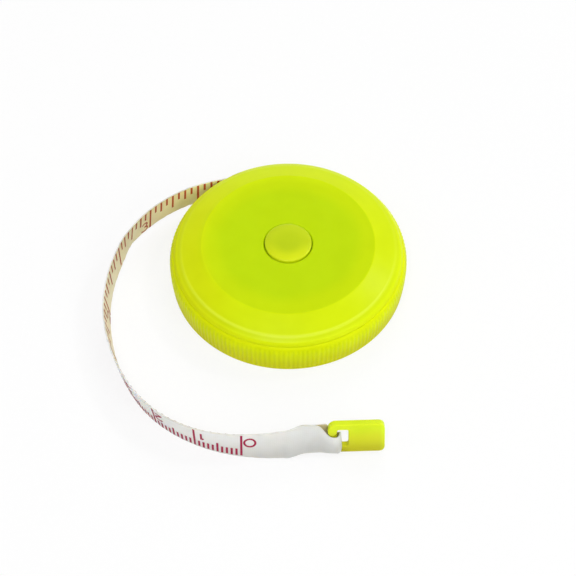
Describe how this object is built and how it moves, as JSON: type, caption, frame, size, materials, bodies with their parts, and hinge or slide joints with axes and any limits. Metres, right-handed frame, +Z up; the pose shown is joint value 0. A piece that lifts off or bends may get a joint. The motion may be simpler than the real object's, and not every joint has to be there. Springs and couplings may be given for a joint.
{
  "type": "retractable tape measure",
  "caption": "Round retractable cloth tape measure: ribbed case, centre brake button, spring-wound reel, and a printed tape drawn out in a curve to a buckle-like pull tab.",
  "frame": {"origin": "centre of the case's underside", "axes": "+Z up along the reel's axis, +X to the right and +Y away from the viewer, who stands on the pull tab's side"},
  "size_m": [0.0658, 0.0739, 0.0116],
  "materials": {
    "case_plastic": "smooth moulded, yellow-green",
    "tab_plastic": "smooth moulded, yellow-green",
    "inner_plastic": "plain moulded, ivory",
    "brake_rubber": "matt, black",
    "spring_steel": "rolled spring steel",
    "tape_cloth": "coated woven tape, white outside and cream inside, with printed lines"
  },
  "bodies": {
    "case": {"lower_shell": "case_plastic", "cover": "case_plastic", "button_spring": "spring_steel"},
    "reel": {"reel": "inner_plastic", "power_spring": "spring_steel", "spring_cover": "inner_plastic", "brake_plate": "inner_plastic", "wound_tape": "tape_cloth"},
    "button": {"push_button": "case_plastic", "brake_disc": "inner_plastic", "brake_ring": "brake_rubber"},
    "tape": {"tape_strip": "tape_cloth", "tape_end_loop": "tape_cloth"},
    "tab": {"pull_tab": "tab_plastic"}
  },
  "joints": [
    {"name": "reel_turn", "type": "hinge", "parent": "case", "child": "reel", "pos_m": [0, 0, 0.005], "axis": [0, 0, 1], "range_deg": [-68, 68], "deforming": ["power_spring"]},
    {"name": "tape_feed", "type": "hinge", "parent": "case", "child": "tape", "pos_m": [-0.00881, -0.00932, 0.0049], "axis": [0, 0, 1], "range_deg": [-38.1, 38.1]},
    {"name": "button_press", "type": "slide", "parent": "case", "child": "button", "axis": [0, 0, -1], "range_m": [0, 0.0008], "stiffness_N_per_m": 1000, "deforming": ["button_spring"]},
    {"name": "tab_swing", "type": "hinge", "parent": "tape", "child": "tab", "pos_m": [0.0093, -0.04576, 0.00042], "axis": [-0.0125, 0.3581, 0.9336], "range_deg": [-60, 0]}
  ],
  "couplings": [
    {"joint": "tape_feed", "follows": "reel_turn", "ratio": 0.5587}
  ]
}
